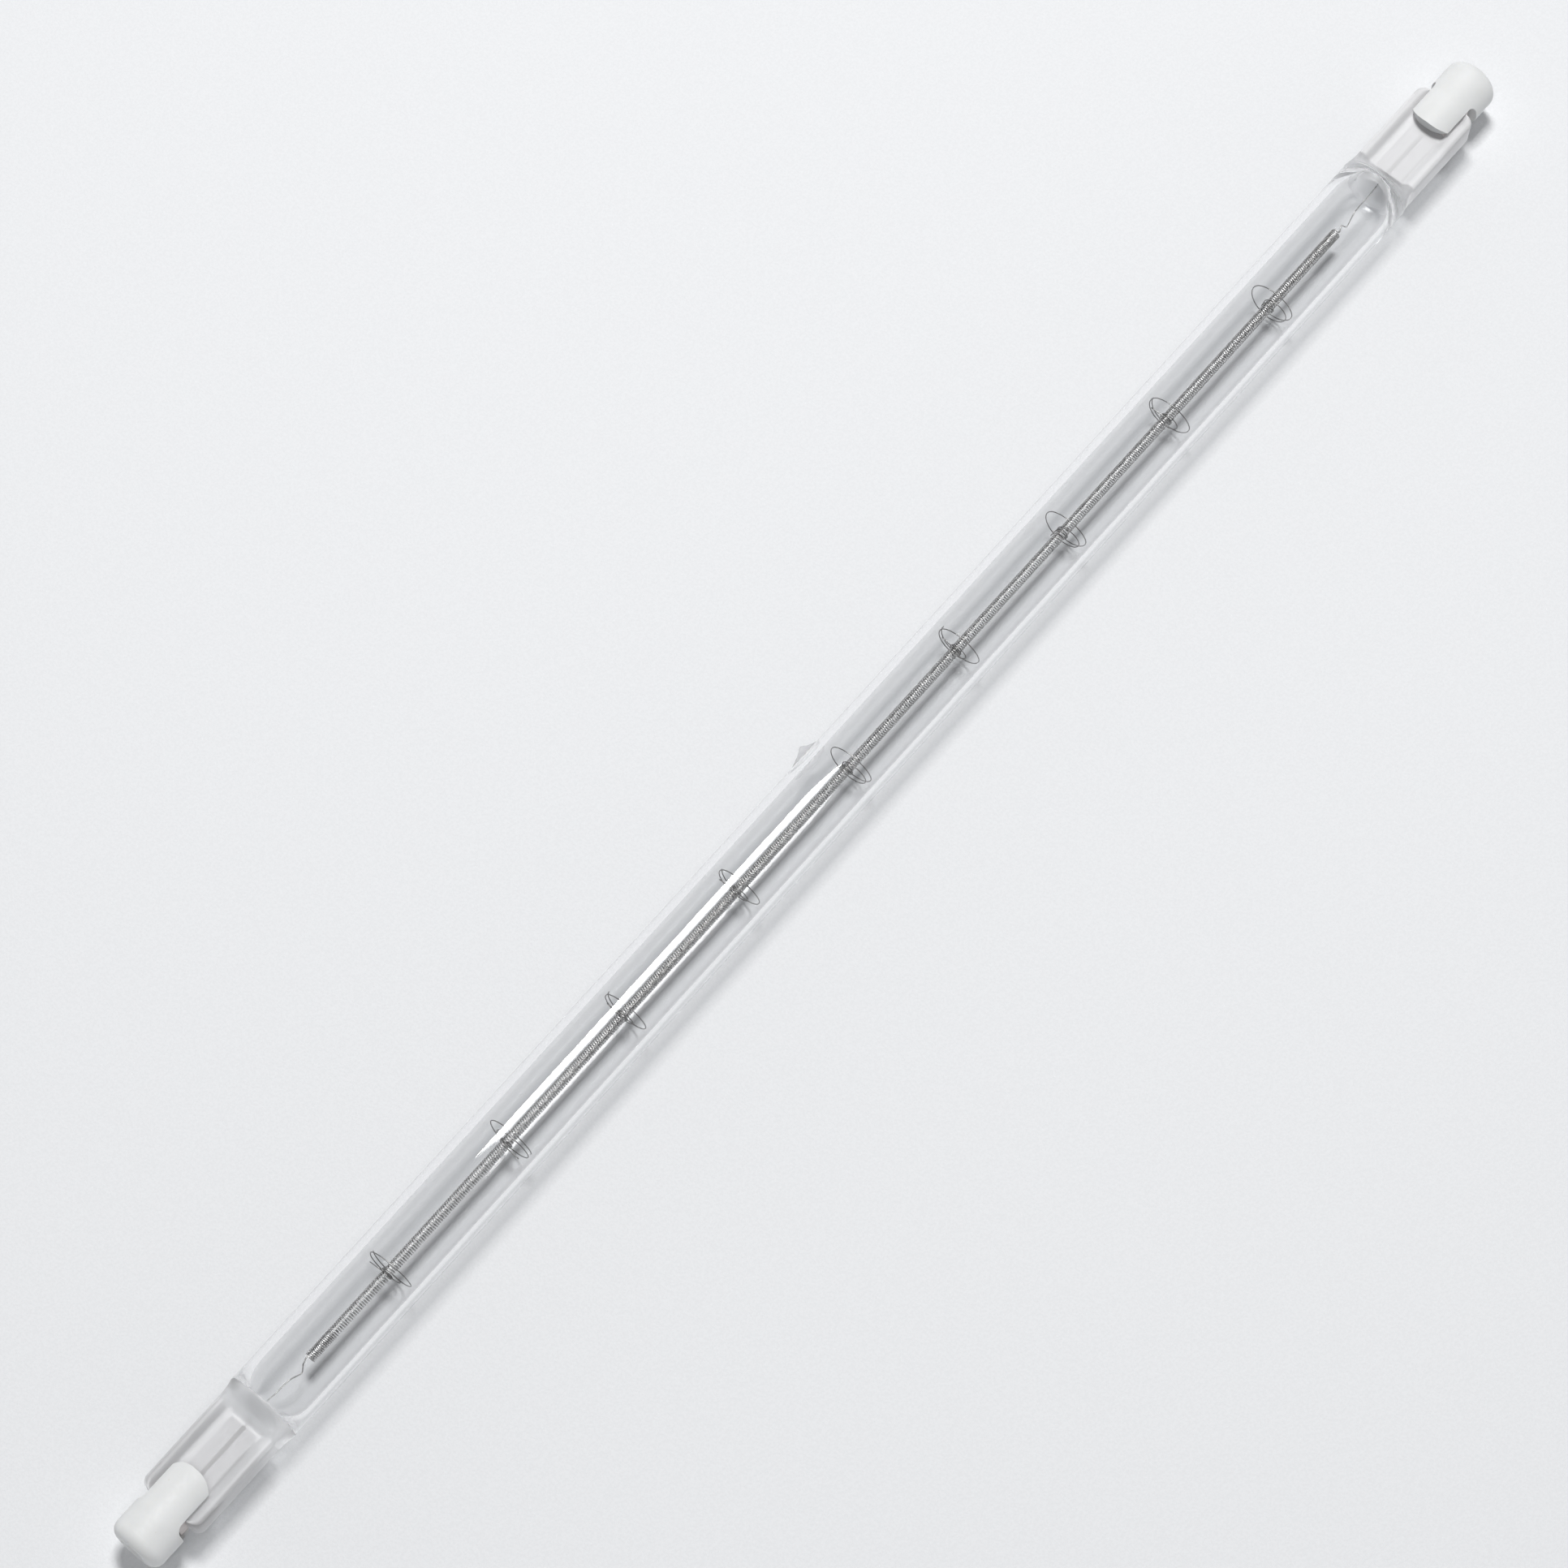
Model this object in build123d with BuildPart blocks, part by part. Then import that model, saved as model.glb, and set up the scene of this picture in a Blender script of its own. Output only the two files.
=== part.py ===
# Double-ended infrared halogen heat lamp: a quartz tube pinched flat at both ends,
# a supported tungsten coil inside it and a ceramic contact cap on each pinch.
# Millimetres. X runs along the lamp, Z is up, and the origin is mid-length on the tube's axis.

import os
from math import cos, pi, radians, sin

from build123d import *

# Quartz tube and its pinch seals
overall_length = 253.0
tube_diameter = 9.8
tube_wall = 1.0
pinch_inset = 6.2
pinch_length = 13.7
pinch_width = 8.7
ridge_thickness = 4.2
ridge_width = 1.05
web_thickness = 2.5
pinch_corner = 1.2
shoulder_length = 2.1
shoulder_rise = 0.7
web_run_out = 1.1

# Hollow of the tube, which closes to a flat tongue inside each shoulder
hollow_inset = 0.8
hollow_taper = 1.2
hollow_round = 6.8
hollow_tip_height = 0.6

# Exhaust pip, sealed off on the +Y side
pip_centre_x = -3.0
pip_height = 1.2
pip_length = 5.7
pip_width = 3.8
pip_tip_diameter = 0.5
pip_lean = 1.1

# Filament coil, its legs and the wires that hold it up
filament_wire = 0.22
coil_diameter = 1.44
coil_inset = 8.9
coil_drop = 0.6
leg_dip = 1.05
leg_sway = 0.45
leg_bend = 0.3
leg_weld = 1.4
support_count = 9
support_end_gap = 13.7
support_turned = (75, 265, 95, 80, 350, 100, 10, 85, 355)
support_wire = 0.13
support_ring_clearance = 0.1
support_wraps = 2
support_wrap_pitch = 0.2
support_run_out = 0.75
support_ring_turns = 1.05
support_ring_pitch = 0.5
support_tail = 2.2
support_clearance = 0.03
points_per_turn = 10

# Seal foil and outer lead in each pinch
foil_width = 4.0
foil_thickness = 0.05
foil_inset = 1.1
foil_setback = 3.6
lead_diameter = 0.45
lead_bend = 0.4
weld_flat = 0.02

# Ceramic cap, contact and cement
cap_diameter = 7.2
cap_length = 11.2
cap_edge = 1.4
jaw_corner = 3.2
glass_gap = 1.6
slot_clearance = 0.15
slot_corner = 1.0
recess_diameter = 3.4
recess_depth = 1.7
recess_mouth = 0.3
contact_diameter = 2.8
contact_thickness = 0.75
contact_edge = 0.2
stem_diameter = 1.1
stem_reach = 0.25
contact_clearance = 0.05
lead_in_stem = 1.2
cement_width = 5.0
cement_setback = 1.0
cement_gap_fill = 0.7

# Places that follow from the sizes above, measured out from the middle of the lamp
end_x = overall_length / 2
glass_x = end_x - pinch_inset
pinch_x = glass_x - pinch_length
shoulder_x = pinch_x - shoulder_length
tube_radius = tube_diameter / 2
bore_radius = tube_radius - tube_wall
ridge_half = ridge_thickness / 2
web_half = web_thickness / 2
pinch_half = pinch_width / 2
channel_half = pinch_half - ridge_width
hollow_x = pinch_x - hollow_inset
taper_x = hollow_x - hollow_taper
round_x = hollow_x - hollow_round
coil_x = hollow_x - coil_inset
coil_radius = coil_diameter / 2
coil_z = -coil_drop
support_pitch = 2 * (coil_x - support_end_gap) / (support_count - 1)
foil_in_x = pinch_x + foil_inset
foil_out_x = glass_x - foil_setback
lead_z = foil_thickness / 2 + lead_diameter / 2 - weld_flat
leg_z = -(foil_thickness / 2 + filament_wire / 2 - weld_flat)
cap_radius = cap_diameter / 2
jaw_x = end_x - cap_length
slot_x = glass_x + glass_gap
slot_half = ridge_half + slot_clearance
recess_x = end_x - recess_depth
contact_back_x = recess_x - contact_thickness
stem_x = slot_x - stem_reach * glass_gap
lead_end_x = stem_x + lead_in_stem

os.makedirs("parts", exist_ok=True)
solids = []


# Seal foils: thin strips in the middle plane of each pinch
with BuildPart() as foil_right:
    with BuildSketch(Plane.XY.offset(-foil_thickness / 2)):
        with Locations(((foil_in_x + foil_out_x) / 2, 0)):
            Rectangle(foil_out_x - foil_in_x, foil_width)
    extrude(amount=foil_thickness)
foil_right.part.label = "seal_foil_right"
solids.append(foil_right.part)

with BuildPart() as foil_left:
    mirror(foil_right.part, about=Plane.YZ)
foil_left.part.label = "seal_foil_left"
solids.append(foil_left.part)


# Outer leads: each lies welded on its foil, leaves the glass and ends in the contact's stem
with BuildPart() as lead_right:
    with BuildLine():
        lead_path = FilletPolyline(
            (foil_in_x + foil_thickness, 0, lead_z),
            (glass_x + glass_gap / 8, 0, lead_z),
            (stem_x - glass_gap / 8, 0, 0),
            (lead_end_x, 0, 0),
            radius=lead_bend,
        )
    with BuildSketch(Plane(lead_path @ 0, z_dir=lead_path % 0)):
        Circle(lead_diameter / 2)
    sweep(path=lead_path)
    add(foil_right.part, mode=Mode.SUBTRACT)
lead_right.part.label = "outer_lead_right"
solids.append(lead_right.part)

with BuildPart() as lead_left:
    mirror(lead_right.part, about=Plane.YZ)
lead_left.part.label = "outer_lead_left"
solids.append(lead_left.part)


# Filament: the wound length is a sleeve of the coil's own diameters, with a kinked leg at each end
with BuildPart() as filament:
    with BuildSketch(Plane.YZ.offset(-coil_x)):
        with Locations((0, coil_z)):
            Circle(coil_radius)
            Circle(coil_radius - filament_wire, mode=Mode.SUBTRACT)
    extrude(amount=2 * coil_x)
    leg_top = coil_z + coil_radius - filament_wire
    for side in (-1, 1):
        with BuildLine():
            leg_path = FilletPolyline(
                (side * (coil_x - 0.115 * coil_inset), 0, leg_top),
                (side * (coil_x + 0.115 * coil_inset), 0, leg_top),
                (side * (coil_x + 0.20 * coil_inset), -leg_sway, leg_top - leg_dip),
                (side * (coil_x + 0.38 * coil_inset), -leg_sway / 3, leg_z + leg_dip / 4),
                (side * (coil_x + 0.565 * coil_inset), 0, leg_z),
                (side * (foil_in_x + leg_weld), 0, leg_z),
                radius=leg_bend,
            )
        with BuildSketch(Plane(leg_path @ 0, z_dir=leg_path % 0)):
            Circle(filament_wire / 2)
        sweep(path=leg_path)
    add(foil_left.part, mode=Mode.SUBTRACT)
    add(foil_right.part, mode=Mode.SUBTRACT)
filament.part.label = "filament"
solids.append(filament.part)


# Hollow of the tube, taken out of the glass below
with BuildPart() as hollow:
    with BuildSketch(Plane.YZ):
        Circle(bore_radius)
    extrude(amount=hollow_x, both=True)
    with BuildSketch(Plane.XZ):
        with BuildLine():
            top = Line((0, tube_radius), (taper_x, tube_radius))
            ramp = Bezier(
                top @ 1,
                (hollow_x - hollow_taper / 3, tube_radius),
                (hollow_x - hollow_taper / 2, hollow_tip_height),
                (hollow_x, hollow_tip_height / 2),
            )
            tip = Line(ramp @ 1, (hollow_x, 0))
            Line(tip @ 1, (0, 0))
            Line((0, 0), top @ 0)
        make_face()
        mirror(about=Plane.XZ)
        mirror(about=Plane.YZ)
    extrude(amount=tube_radius, both=True, mode=Mode.INTERSECT)
    with BuildSketch(Plane.XY):
        with BuildLine():
            flank = Line((0, bore_radius), (round_x, bore_radius))
            nose = Bezier(
                flank @ 1,
                (hollow_x - hollow_round / 3, bore_radius),
                (hollow_x, bore_radius * 2 / 3),
                (hollow_x, 0),
            )
            Line(nose @ 1, (0, 0))
            Line((0, 0), flank @ 0)
        make_face()
        mirror(about=Plane.XZ)
        mirror(about=Plane.YZ)
    extrude(amount=tube_radius, both=True, mode=Mode.INTERSECT)


# Quartz envelope: one tube, pressed flat at both ends, with the pip drawn out of its side
with BuildPart() as envelope:
    with BuildSketch(Plane.YZ):
        Circle(tube_radius)
    extrude(amount=glass_x, both=True)

    # Side view: full height along the tube, down over the shoulders to the ridges
    with BuildSketch(Plane.XZ):
        with BuildLine():
            crown = Line((0, tube_radius + shoulder_rise), (shoulder_x, tube_radius + shoulder_rise))
            shoulder = Bezier(
                crown @ 1,
                (shoulder_x + shoulder_length / 2, tube_radius + shoulder_rise),
                (pinch_x - shoulder_length / 2, ridge_half),
                (pinch_x, ridge_half),
            )
            ridge = Line(shoulder @ 1, (glass_x, ridge_half))
            butt = Line(ridge @ 1, (glass_x, 0))
            Line(butt @ 1, (0, 0))
            Line((0, 0), crown @ 0)
        make_face()
        mirror(about=Plane.XZ)
        mirror(about=Plane.YZ)
    extrude(amount=tube_diameter, both=True, mode=Mode.INTERSECT)

    # Plan view: in from the tube to the pinch's width, with rounded corners at the glass's end
    with BuildSketch(Plane.XY):
        with BuildLine():
            wide = Line((0, tube_radius + shoulder_rise), (shoulder_x, tube_radius + shoulder_rise))
            waist = Bezier(
                wide @ 1,
                (shoulder_x + shoulder_length / 2, tube_radius + shoulder_rise),
                (shoulder_x + shoulder_length / 3, pinch_half),
                (pinch_x, pinch_half),
            )
            edge = Line(waist @ 1, (glass_x - pinch_corner, pinch_half))
            corner = RadiusArc(edge @ 1, (glass_x, pinch_half - pinch_corner), pinch_corner)
            face = Line(corner @ 1, (glass_x, 0))
            Line(face @ 1, (0, 0))
            Line((0, 0), wide @ 0)
        make_face()
        mirror(about=Plane.XZ)
        mirror(about=Plane.YZ)
    extrude(amount=tube_diameter, both=True, mode=Mode.INTERSECT)

    # Channels between the ridges, on both faces of both pinches
    for side in (-1, 1):
        for up in (-1, 1):
            with BuildSketch(Plane((0, 0, 0), x_dir=(side, 0, 0), z_dir=(0, -side * up, 0))):
                with BuildLine():
                    lip = Line(
                        (pinch_x - web_run_out / 2, tube_radius),
                        (pinch_x - web_run_out / 2, ridge_half + web_run_out / 2),
                    )
                    run_out = Bezier(
                        lip @ 1,
                        (pinch_x, web_half),
                        (pinch_x + web_run_out, web_half),
                    )
                    Polyline(
                        run_out @ 1,
                        (end_x, web_half),
                        (end_x, tube_radius),
                        lip @ 0,
                    )
                make_face()
            extrude(amount=channel_half, both=True, mode=Mode.SUBTRACT)

    # Pip: a low mound that leans along the tube
    pip_sections = (
        (-0.9 * tube_wall, pip_length + 0.9, pip_width + 1.1, 0.0),
        (0.0, pip_length - 0.7, pip_width - 0.7, 0.1),
        (0.5 * pip_height, 0.42 * pip_length, 0.45 * pip_width, 0.55),
        (0.85 * pip_height, 2 * pip_tip_diameter, 1.8 * pip_tip_diameter, 0.9),
        (pip_height, pip_tip_diameter, pip_tip_diameter, 1.0),
    )
    for rise, length, width, lean in pip_sections:
        pip_origin = (pip_centre_x + lean * pip_lean, tube_radius + rise, 0)
        with BuildSketch(Plane(pip_origin, x_dir=(1, 0, 0), z_dir=(0, 1, 0))):
            Ellipse(length / 2, width / 2)
    loft()

    add(hollow.part, mode=Mode.SUBTRACT)
    for sealed_in in (foil_left, foil_right, lead_left, lead_right, filament):
        add(sealed_in.part, mode=Mode.SUBTRACT)
envelope.part.label = "quartz_envelope"
solids.append(envelope.part)


# Coil supports: two wraps on the coil, a run out and one ring that rides in the tube
wrap_radius = coil_radius + support_clearance + support_wire / 2
ring_radius = bore_radius - coil_drop - support_ring_clearance - support_wire / 2
wrap_advance = support_wraps * support_wrap_pitch
run_advance = wrap_advance + support_ring_pitch / 2
support_turns = support_wraps + support_run_out + support_ring_turns


def support_point(turns, middle_x, start_angle):
    out = min(max((turns - support_wraps) / support_run_out, 0), 1)
    ease = out * out * (3 - 2 * out)
    radius = wrap_radius + (ring_radius - wrap_radius) * ease
    ringed = max(turns - support_wraps - support_run_out, 0)
    along = min(turns, support_wraps) * support_wrap_pitch + ease * support_ring_pitch / 2
    along += ringed * support_ring_pitch - run_advance
    angle = start_angle + 2 * pi * turns
    return (middle_x + along, radius * cos(angle), coil_z + radius * sin(angle))


for number in range(support_count):
    middle_x = (number - (support_count - 1) / 2) * support_pitch
    start_angle = radians(support_turned[number])
    steps = round(support_turns * points_per_turn)
    with BuildPart() as support:
        with BuildLine():
            turns = [
                support_point(support_turns * i / steps, middle_x, start_angle)
                for i in range(steps + 1)
            ]
            wound = Spline(*turns)
            tail = Line(Vector(*turns[0]) - (wound % 0) * support_tail, turns[0])
            wire_path = Wire([tail, wound])
        with BuildSketch(Plane(tail @ 0, z_dir=tail % 0)):
            RegularPolygon(support_wire / 2, 6)
        sweep(path=wire_path)
    support.part.label = f"coil_support_{number + 1}"
    solids.append(support.part)


# Ceramic caps: turned body, slot for the pinch and a stepped recess for the contact
with BuildPart() as cap_right:
    with BuildSketch(Plane.YZ.offset(jaw_x)):
        Circle(cap_radius)
    extrude(amount=cap_length)
    fillet(cap_right.edges().group_by(Axis.X)[-1], cap_edge)
    with BuildSketch(Plane.XZ):
        with Locations(((jaw_x + slot_x) / 2, 0)):
            Rectangle(slot_x - jaw_x, 2 * slot_half)
        fillet(vertices().group_by(Axis.X)[-1], slot_corner)
    extrude(amount=cap_diameter, both=True, mode=Mode.SUBTRACT)
    with BuildSketch(Plane.XY):
        with Locations((jaw_x + cap_length / 2, 0)):
            Rectangle(cap_length, cap_diameter)
        fillet(vertices().group_by(Axis.X)[0], jaw_corner)
    extrude(amount=cap_diameter, both=True, mode=Mode.INTERSECT)
    with BuildSketch(Plane.YZ.offset(recess_x)):
        Circle(recess_diameter / 2)
    extrude(amount=recess_depth, mode=Mode.SUBTRACT)
    chamfer(cap_right.edges().filter_by(GeomType.CIRCLE).group_by(Axis.X)[-1], recess_mouth)
    with BuildSketch(Plane.YZ.offset(contact_back_x)):
        Circle(contact_diameter / 2 + contact_clearance)
    extrude(amount=contact_thickness, mode=Mode.SUBTRACT)
    with BuildSketch(Plane.YZ.offset(slot_x)):
        Circle(stem_diameter / 2 + contact_clearance)
    extrude(amount=contact_back_x - slot_x, mode=Mode.SUBTRACT)
cap_right.part.label = "ceramic_cap_right"
solids.append(cap_right.part)

with BuildPart() as cap_left:
    mirror(cap_right.part, about=Plane.YZ)
cap_left.part.label = "ceramic_cap_left"
solids.append(cap_left.part)


# Contacts: a flat button in the recess, with a stem that takes the outer lead
with BuildPart() as contact_right:
    with BuildSketch(Plane.YZ.offset(contact_back_x)):
        Circle(contact_diameter / 2)
    extrude(amount=contact_thickness)
    fillet(contact_right.edges().group_by(Axis.X)[-1], contact_edge)
    with BuildSketch(Plane.YZ.offset(stem_x)):
        Circle(stem_diameter / 2)
    extrude(amount=contact_back_x - stem_x)
    add(lead_right.part, mode=Mode.SUBTRACT)
contact_right.part.label = "contact_button_right"
solids.append(contact_right.part)

with BuildPart() as contact_left:
    mirror(contact_right.part, about=Plane.YZ)
contact_left.part.label = "contact_button_left"
solids.append(contact_left.part)


# Cement: fills the slot round the pinch's web and wraps over the end of the glass
with BuildPart() as cement_right:
    cement_in_x = jaw_x + cement_setback
    cement_out_x = glass_x + cement_gap_fill * glass_gap
    with BuildSketch(Plane.XZ):
        with Locations(((cement_in_x + cement_out_x) / 2, 0)):
            Rectangle(cement_out_x - cement_in_x, 2 * slot_half)
    extrude(amount=cement_width / 2, both=True)
    for bedded in (envelope, foil_right, lead_right, cap_right):
        add(bedded.part, mode=Mode.SUBTRACT)
cement_right.part.label = "cap_cement_right"
solids.append(cement_right.part)

with BuildPart() as cement_left:
    mirror(cement_right.part, about=Plane.YZ)
cement_left.part.label = "cap_cement_left"
solids.append(cement_left.part)


for solid in solids:
    export_step(solid, f"parts/{solid.label}.step")
    print(solid.label, round(solid.volume, 3))
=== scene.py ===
import math

import bpy
import numpy as np
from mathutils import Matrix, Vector


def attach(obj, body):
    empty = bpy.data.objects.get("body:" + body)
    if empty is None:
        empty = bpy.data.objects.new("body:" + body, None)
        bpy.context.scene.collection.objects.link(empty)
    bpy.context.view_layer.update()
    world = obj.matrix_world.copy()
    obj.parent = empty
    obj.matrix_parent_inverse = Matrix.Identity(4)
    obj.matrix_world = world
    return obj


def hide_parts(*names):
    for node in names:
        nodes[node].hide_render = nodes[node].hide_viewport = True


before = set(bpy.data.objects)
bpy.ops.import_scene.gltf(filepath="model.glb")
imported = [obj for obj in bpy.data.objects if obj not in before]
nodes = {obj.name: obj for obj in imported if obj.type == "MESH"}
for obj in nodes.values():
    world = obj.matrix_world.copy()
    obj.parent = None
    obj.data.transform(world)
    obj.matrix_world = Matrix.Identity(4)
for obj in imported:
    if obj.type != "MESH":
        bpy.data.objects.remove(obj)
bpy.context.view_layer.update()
scene = bpy.context.scene
scene.view_settings.view_transform = "Standard"
scene.cycles.max_bounces = 32  # light turns many times inside the quartz
scene.cycles.glossy_bounces = 24
scene.cycles.transmission_bounces = 32
scene.cycles.transparent_max_bounces = 24
mm = 0.001  # sizes below are in millimetres, as on a drawing
print("frame loaded:", len(nodes), "nodes")


# Small helpers for meshes

def smoothStep(start, end, value):
    t = np.clip((value - start) / (end - start), 0.0, 1.0)
    return t * t * (3 - 2 * t)


def signedVolume(verts, faces):
    total = 0.0
    for face in faces:
        a = verts[face[0]]
        for i in range(1, len(face) - 1):
            total += np.dot(a, np.cross(verts[face[i]], verts[face[i + 1]]))
    return total / 6


def stripFaces(rows, around):
    faces = []
    for r in range(rows - 1):
        for k in range(around):
            n = (k + 1) % around
            low, high = r * around, (r + 1) * around
            faces.append((low + k, low + n, high + n, high + k))
    return faces


def facedOut(verts, faces, outward=True):
    if (signedVolume(verts, faces) > 0) == outward:
        return faces
    return [tuple(reversed(f)) for f in faces]


def makePiece(name, verts, faces, finishes, stoodFor, finishOf=None):
    mesh = bpy.data.meshes.new(name)
    mesh.from_pydata((np.asarray(verts) * mm).tolist(), [], [tuple(int(i) for i in f) for f in faces])
    mesh.shade_smooth()
    for finish in finishes:
        mesh.materials.append(finish)
    if finishOf is not None:
        mesh.polygons.foreach_set("material_index", finishOf)
    mesh.validate()
    piece = bpy.data.objects.new(name, mesh)
    scene.collection.objects.link(piece)
    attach(piece, "root")
    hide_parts(*stoodFor)


offAxis = (0.31, 0.52, 0.79)  # a direction that no wire starts along
longestBend = 0.45  # the share of a straight run that a bend may take


def roundWire(path, radius, sides):
    path = np.asarray(path, float)
    tangents = np.gradient(path, axis=0)
    tangents /= np.linalg.norm(tangents, axis=1)[:, None]
    across = np.cross(tangents[0], offAxis)
    angles = np.arange(sides) * 2 * math.pi / sides
    verts = []
    for point, tangent in zip(path, tangents):
        across = across - tangent * np.dot(across, tangent)  # carried along, so the wire doesn't twist
        across /= np.linalg.norm(across)
        third = np.cross(tangent, across)
        ring = np.outer(np.cos(angles), across) + np.outer(np.sin(angles), third)
        verts.append(point + radius * ring)
    verts = np.concatenate(verts)
    last = len(path) * sides
    faces = stripFaces(len(path), sides)
    verts = np.vstack([verts, path[0], path[-1]])
    for k in range(sides):
        n = (k + 1) % sides
        faces.append((last, n, k))
        faces.append((last + 1, last - sides + k, last - sides + n))
    return verts, faces


def bentPath(corners, bend, steps=6):
    corners = [np.asarray(c, float) for c in corners]
    points = [corners[0]]
    for before, at, after in zip(corners, corners[1:], corners[2:]):
        runIn, runOut = np.linalg.norm(before - at), np.linalg.norm(after - at)
        reach = min(bend, longestBend * runIn, longestBend * runOut)
        start = at + (before - at) / runIn * reach
        end = at + (after - at) / runOut * reach
        for t in np.linspace(0, 1, steps):
            points.append((1 - t) ** 2 * start + 2 * t * (1 - t) * at + t * t * end)
    points.append(corners[-1])
    return points


# Node helpers and the shared shader groups

def addNode(tree, kind, place, **settings):
    node = tree.nodes.new(kind)
    node.location = place
    for key, value in settings.items():
        setattr(node, key, value)
    return node


def newMaterial(name):
    material = bpy.data.materials.new(name)
    material.use_nodes = True
    tree = material.node_tree
    tree.nodes.clear()
    out = addNode(tree, "ShaderNodeOutputMaterial", (700, 0))
    shader = addNode(tree, "ShaderNodeBsdfPrincipled", (350, 0))
    tree.links.new(shader.outputs["BSDF"], out.inputs["Surface"])
    coords = addNode(tree, "ShaderNodeTexCoord", (-900, 0))
    return material, tree, shader, coords


def makeGrainGroup():
    group = bpy.data.node_groups.new("lampGrain", "ShaderNodeTree")
    for label, kind, value in (
        ("Vector", "NodeSocketVector", (0, 0, 0)),
        ("Stretch", "NodeSocketVector", (1, 1, 1)),
        ("Scale", "NodeSocketFloat", 1000),
        ("Detail", "NodeSocketFloat", 4),
        ("Low", "NodeSocketFloat", 0.35),
        ("High", "NodeSocketFloat", 0.65),
    ):
        made = group.interface.new_socket(label, in_out="INPUT", socket_type=kind)
        made.default_value = value
    for label in ("Mask", "Height"):
        group.interface.new_socket(label, in_out="OUTPUT", socket_type="NodeSocketFloat")
    source = addNode(group, "NodeGroupInput", (-700, 0))
    end = addNode(group, "NodeGroupOutput", (500, 0))
    stretch = addNode(group, "ShaderNodeVectorMath", (-480, 0), operation="MULTIPLY")
    noise = addNode(group, "ShaderNodeTexNoise", (-260, 0))
    noise.inputs["Roughness"].default_value = 0.6
    spread = addNode(group, "ShaderNodeMapRange", (0, 0), interpolation_type="SMOOTHSTEP")
    link = group.links.new
    link(source.outputs["Vector"], stretch.inputs[0])
    link(source.outputs["Stretch"], stretch.inputs[1])
    link(stretch.outputs["Vector"], noise.inputs["Vector"])
    link(source.outputs["Scale"], noise.inputs["Scale"])
    link(source.outputs["Detail"], noise.inputs["Detail"])
    link(noise.outputs["Fac"], spread.inputs["Value"])
    link(source.outputs["Low"], spread.inputs["From Min"])
    link(source.outputs["High"], spread.inputs["From Max"])
    link(spread.outputs["Result"], end.inputs["Mask"])
    link(noise.outputs["Fac"], end.inputs["Height"])
    return group


def makeSpeckGroup():
    group = bpy.data.node_groups.new("lampSpecks", "ShaderNodeTree")
    for label, kind, value in (
        ("Vector", "NodeSocketVector", (0, 0, 0)),
        ("Scale", "NodeSocketFloat", 2000),
        ("Size", "NodeSocketFloat", 0.16),
        ("Share", "NodeSocketFloat", 0.3),
    ):
        made = group.interface.new_socket(label, in_out="INPUT", socket_type=kind)
        made.default_value = value
    group.interface.new_socket("Mask", in_out="OUTPUT", socket_type="NodeSocketFloat")
    source = addNode(group, "NodeGroupInput", (-700, 0))
    end = addNode(group, "NodeGroupOutput", (700, 0))
    cells = addNode(group, "ShaderNodeTexVoronoi", (-450, 0), feature="F1")
    near = addNode(group, "ShaderNodeMath", (-200, 100), operation="LESS_THAN")
    split = addNode(group, "ShaderNodeSeparateColor", (-200, -100))
    some = addNode(group, "ShaderNodeMath", (50, -100), operation="LESS_THAN")
    both = addNode(group, "ShaderNodeMath", (300, 0), operation="MULTIPLY")
    link = group.links.new
    link(source.outputs["Vector"], cells.inputs["Vector"])
    link(source.outputs["Scale"], cells.inputs["Scale"])
    link(cells.outputs["Distance"], near.inputs[0])
    link(source.outputs["Size"], near.inputs[1])
    link(cells.outputs["Color"], split.inputs["Color"])
    link(split.outputs["Red"], some.inputs[0])
    link(source.outputs["Share"], some.inputs[1])
    link(near.outputs[0], both.inputs[0])
    link(some.outputs[0], both.inputs[1])
    link(both.outputs[0], end.inputs["Mask"])
    return group


grainGroup = makeGrainGroup()
speckGroup = makeSpeckGroup()


def useGroup(tree, group, coords, place, **values):
    node = addNode(tree, "ShaderNodeGroup", place, node_tree=group)
    tree.links.new(coords.outputs["Object"], node.inputs["Vector"])
    for label, value in values.items():
        node.inputs[label].default_value = value
    return node


def mixColours(tree, mask, first, second, place):
    mix = addNode(tree, "ShaderNodeMix", place, data_type="RGBA")
    tree.links.new(mask, mix.inputs["Factor"])
    # sockets 6, 7 and 2 are the colour ones; those of other kinds share their names
    for socket, value in ((mix.inputs[6], first), (mix.inputs[7], second)):
        if isinstance(value, bpy.types.NodeSocket):
            tree.links.new(value, socket)
        else:
            socket.default_value = (*value, 1)
    return mix.outputs[2]


def spanValues(tree, mask, low, high, place):
    span = addNode(tree, "ShaderNodeMapRange", place)
    tree.links.new(mask, span.inputs["Value"])
    span.inputs["To Min"].default_value = low
    span.inputs["To Max"].default_value = high
    return span.outputs["Result"]


def addRoughness(tree, shader, mask, span, place):
    tree.links.new(spanValues(tree, mask, *span, place), shader.inputs["Roughness"])


def addBump(tree, shader, height, depth, place):
    bump = addNode(tree, "ShaderNodeBump", place)
    bump.inputs["Strength"].default_value, bump.inputs["Distance"].default_value = depth
    tree.links.new(height, bump.inputs["Height"])
    tree.links.new(bump.outputs["Normal"], shader.inputs["Normal"])


# Finishes

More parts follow.
